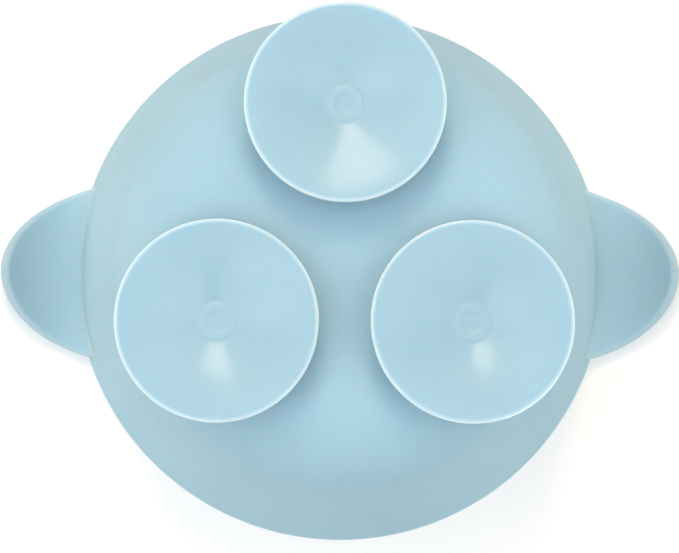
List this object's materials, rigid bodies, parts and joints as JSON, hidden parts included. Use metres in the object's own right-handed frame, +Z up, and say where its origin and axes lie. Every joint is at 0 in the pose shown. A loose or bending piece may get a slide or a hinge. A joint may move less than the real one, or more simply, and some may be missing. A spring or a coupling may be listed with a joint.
{
  "type": "suction bowl",
  "caption": "Soft silicone baby bowl with an ear-shaped tab on each side, standing on round suction cups that grip a tray",
  "frame": {"origin": "middle of the plane that the suction cups' lips rest on, on the bowl's axis", "axes": "+Z up out of the bowl's mouth, the ears along X, one cup in front towards -Y and two behind"},
  "size_m": [0.1586, 0.125, 0.057],
  "materials": {
    "bowl_silicone": "matte",
    "cup_silicone": "satin"
  },
  "bodies": {
    "bowl": {"bowl_shell": "bowl_silicone", "left_ear_root": "bowl_silicone", "right_ear_root": "bowl_silicone"},
    "left_ear": {"left_ear": "bowl_silicone"},
    "right_ear": {"right_ear": "bowl_silicone"},
    "front_cup_neck": {"front_cup_neck": "cup_silicone"},
    "front_cup_hub": {"front_cup_hub": "cup_silicone", "front_cup_nub": "cup_silicone"},
    "front_cup_lip": {"front_cup_lip": "cup_silicone", "front_cup_skirt": "cup_silicone"},
    "rear_right_cup_neck": {"rear_right_cup_neck": "cup_silicone"},
    "rear_right_cup_hub": {"rear_right_cup_hub": "cup_silicone", "rear_right_cup_nub": "cup_silicone"},
    "rear_right_cup_lip": {"rear_right_cup_lip": "cup_silicone", "rear_right_cup_skirt": "cup_silicone"},
    "rear_left_cup_neck": {"rear_left_cup_neck": "cup_silicone"},
    "rear_left_cup_hub": {"rear_left_cup_hub": "cup_silicone", "rear_left_cup_nub": "cup_silicone"},
    "rear_left_cup_lip": {"rear_left_cup_lip": "cup_silicone", "rear_left_cup_skirt": "cup_silicone"}
  },
  "joints": [
    {"name": "left_ear_flex", "type": "hinge", "parent": "bowl", "child": "left_ear", "pos_m": [-0.064, 0, 0.0547], "axis": [0, 1, 0], "range_deg": [-30, 20], "stiffness_Nm_per_rad": 0.035, "deforming": ["left_ear_root"]},
    {"name": "right_ear_flex", "type": "hinge", "parent": "bowl", "child": "right_ear", "pos_m": [0.064, 0, 0.0547], "axis": [0, -1, 0], "range_deg": [-30, 20], "stiffness_Nm_per_rad": 0.035, "deforming": ["right_ear_root"]},
    {"name": "front_cup_tilt_in_out", "type": "hinge", "parent": "bowl", "child": "front_cup_neck", "pos_m": [0, -0.0318, 0.0112], "axis": [1, 0, 0], "range_deg": [-8, 8], "stiffness_Nm_per_rad": 0.15, "deforming": ["front_cup_neck"]},
    {"name": "front_cup_tilt_sideways", "type": "hinge", "parent": "front_cup_neck", "child": "front_cup_hub", "pos_m": [0, -0.0318, 0.0072], "axis": [0, -1, 0], "range_deg": [-8, 8], "stiffness_Nm_per_rad": 0.15, "deforming": ["front_cup_neck"]},
    {"name": "front_cup_press", "type": "slide", "parent": "front_cup_hub", "child": "front_cup_lip", "axis": [0, 0, 1], "range_m": [0, 0.0032], "stiffness_N_per_m": 800, "deforming": ["front_cup_skirt"]},
    {"name": "rear_right_cup_tilt_in_out", "type": "hinge", "parent": "bowl", "child": "rear_right_cup_neck", "pos_m": [0.02754, 0.0159, 0.0112], "axis": [-0.5, 0.866, 0], "range_deg": [-8, 8], "stiffness_Nm_per_rad": 0.15, "deforming": ["rear_right_cup_neck"]},
    {"name": "rear_right_cup_tilt_sideways", "type": "hinge", "parent": "rear_right_cup_neck", "child": "rear_right_cup_hub", "pos_m": [0.02754, 0.0159, 0.0072], "axis": [0.866, 0.5, 0], "range_deg": [-8, 8], "stiffness_Nm_per_rad": 0.15, "deforming": ["rear_right_cup_neck"]},
    {"name": "rear_right_cup_press", "type": "slide", "parent": "rear_right_cup_hub", "child": "rear_right_cup_lip", "axis": [0, 0, 1], "range_m": [0, 0.0032], "stiffness_N_per_m": 800, "deforming": ["rear_right_cup_skirt"]},
    {"name": "rear_left_cup_tilt_in_out", "type": "hinge", "parent": "bowl", "child": "rear_left_cup_neck", "pos_m": [-0.02754, 0.0159, 0.0112], "axis": [-0.5, -0.866, 0], "range_deg": [-8, 8], "stiffness_Nm_per_rad": 0.15, "deforming": ["rear_left_cup_neck"]},
    {"name": "rear_left_cup_tilt_sideways", "type": "hinge", "parent": "rear_left_cup_neck", "child": "rear_left_cup_hub", "pos_m": [-0.02754, 0.0159, 0.0072], "axis": [-0.866, 0.5, 0], "range_deg": [-8, 8], "stiffness_Nm_per_rad": 0.15, "deforming": ["rear_left_cup_neck"]},
    {"name": "rear_left_cup_press", "type": "slide", "parent": "rear_left_cup_hub", "child": "rear_left_cup_lip", "axis": [0, 0, 1], "range_m": [0, 0.0032], "stiffness_N_per_m": 800, "deforming": ["rear_left_cup_skirt"]}
  ]
}
